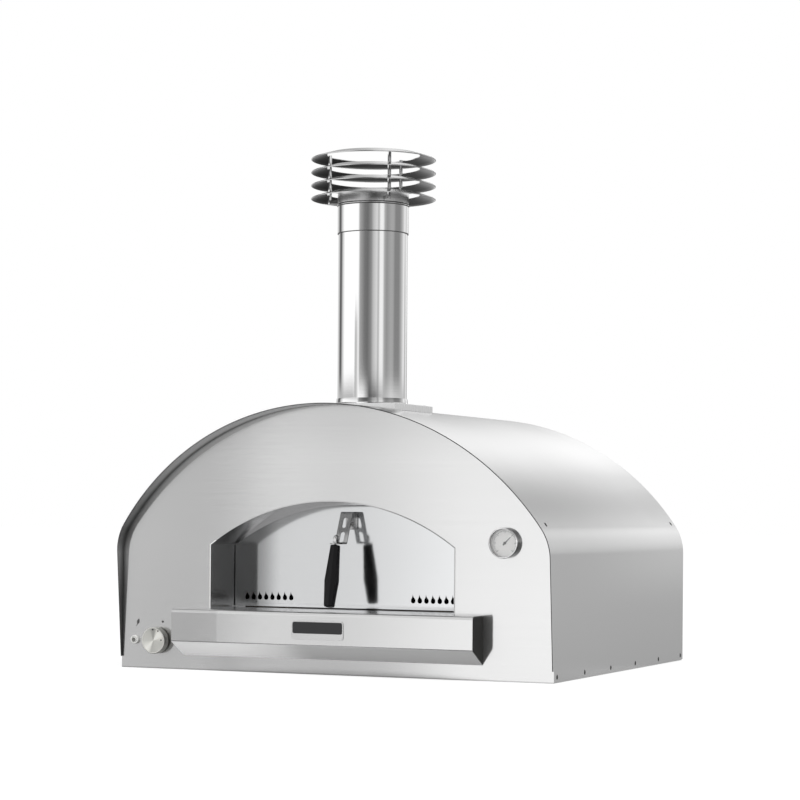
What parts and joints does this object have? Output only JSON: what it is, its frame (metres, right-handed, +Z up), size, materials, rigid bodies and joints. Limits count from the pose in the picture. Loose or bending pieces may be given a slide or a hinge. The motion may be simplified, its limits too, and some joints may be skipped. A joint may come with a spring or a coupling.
{
  "type": "portable pizza oven",
  "caption": "Arched stainless-steel countertop gas pizza oven with a lift-out door, front shelf, gas knob, igniter, dial thermometer and a lift-off flue with a ring cowl.",
  "frame": {"origin": "on the underside of the base tray, midway between its sides and midway between the front and rear panel faces", "axes": "+X to the oven's right as seen from the front, +Y from the mouth to the back, +Z up along the flue"},
  "size_m": [1, 0.9446, 1.1143],
  "materials": {
    "brushed_steel": "satin",
    "mirror_steel": "polished",
    "dark_steel": "satin",
    "black_handle": "satin",
    "black_trim": "matte",
    "ceramic_fibre": "matte",
    "hearth_tile": "matte",
    "brass": "satin",
    "dial_paint": "matte",
    "clear_glass": "gloss",
    "white_ceramic": "gloss",
    "lead_sleeve": "matte"
  },
  "bodies": {
    "oven": {"outer_shell": "brushed_steel", "front_panel": "brushed_steel", "rear_panel": "brushed_steel", "base_tray": "brushed_steel", "floor_board": "ceramic_fibre", "hearth_tile_front_left": "hearth_tile", "hearth_tile_front_right": "hearth_tile", "hearth_tile_rear_left": "hearth_tile", "hearth_tile_rear_right": "hearth_tile", "chamber_vault": "brushed_steel", "chamber_front_wall": "brushed_steel", "chamber_rear_wall": "brushed_steel", "vault_blanket": "ceramic_fibre", "rear_blanket": "ceramic_fibre", "front_blanket": "ceramic_fibre", "sill_board": "ceramic_fibre", "mouth_surround": "brushed_steel", "mouth_sill": "brushed_steel", "shelf": "brushed_steel", "shelf_cap_left": "black_trim", "shelf_cap_right": "black_trim", "name_plate": "black_trim", "thermometer_bezel": "mirror_steel", "thermometer_case": "dark_steel", "thermometer_dial": "dial_paint", "thermometer_lens": "clear_glass", "thermometer_stem": "brushed_steel", "gas_valve_body": "brass", "gas_supply_pipe": "brass", "burner_feed_pipe": "brass", "gas_inlet": "brass", "burner_tube": "brushed_steel", "burner_saddle_front": "brushed_steel", "burner_saddle_rear": "brushed_steel", "igniter_collar": "mirror_steel", "piezo_body": "black_handle", "ignition_electrode": "white_ceramic", "ignition_lead": "lead_sleeve", "flue_base_plate": "brushed_steel", "flue_spigot": "brushed_steel"},
    "door": {"door_panel": "mirror_steel", "door_bracket": "brushed_steel", "door_bracket_screw": "mirror_steel", "door_grip": "black_handle", "door_grip_bolt": "mirror_steel"},
    "needle": {"thermometer_needle": "black_trim"},
    "pusher": {"valve_pusher": "brushed_steel"},
    "knob": {"gas_knob": "mirror_steel", "valve_spindle": "brass"},
    "button": {"igniter_button": "black_handle"},
    "flue": {"flue_pipe": "mirror_steel", "flue_collar": "mirror_steel"},
    "cowl": {"cowl_sleeve": "mirror_steel", "cowl_ring_1": "mirror_steel", "cowl_ring_2": "mirror_steel", "cowl_ring_3": "mirror_steel", "cowl_ring_4": "mirror_steel", "cowl_post_1": "brushed_steel", "cowl_post_2": "brushed_steel", "cowl_post_3": "brushed_steel"}
  },
  "joints": [
    {"name": "door_pull", "type": "slide", "parent": "oven", "child": "door", "axis": [0, -1, 0], "range_m": [0, 0.2]},
    {"name": "knob_push", "type": "slide", "parent": "oven", "child": "pusher", "axis": [0, 1, 0], "range_m": [0, 0.004], "stiffness_N_per_m": 800},
    {"name": "knob_turn", "type": "hinge", "parent": "pusher", "child": "knob", "pos_m": [-0.41, -0.43, 0.061], "axis": [0, -1, 0], "range_deg": [0, 210]},
    {"name": "igniter_push", "type": "slide", "parent": "oven", "child": "button", "axis": [0, 1, 0], "range_m": [0, 0.005], "stiffness_N_per_m": 600},
    {"name": "needle_turn", "type": "hinge", "parent": "oven", "child": "needle", "pos_m": [0.394, -0.43, 0.28], "axis": [0, 1, 0], "range_deg": [-180, 90], "stiffness_Nm_per_rad": 0.002},
    {"name": "flue_lift", "type": "slide", "parent": "oven", "child": "flue", "axis": [0, 0, 1], "range_m": [0, 0.05]},
    {"name": "cowl_lift", "type": "slide", "parent": "flue", "child": "cowl", "axis": [0, 0, 1], "range_m": [0, 0.065]}
  ]
}
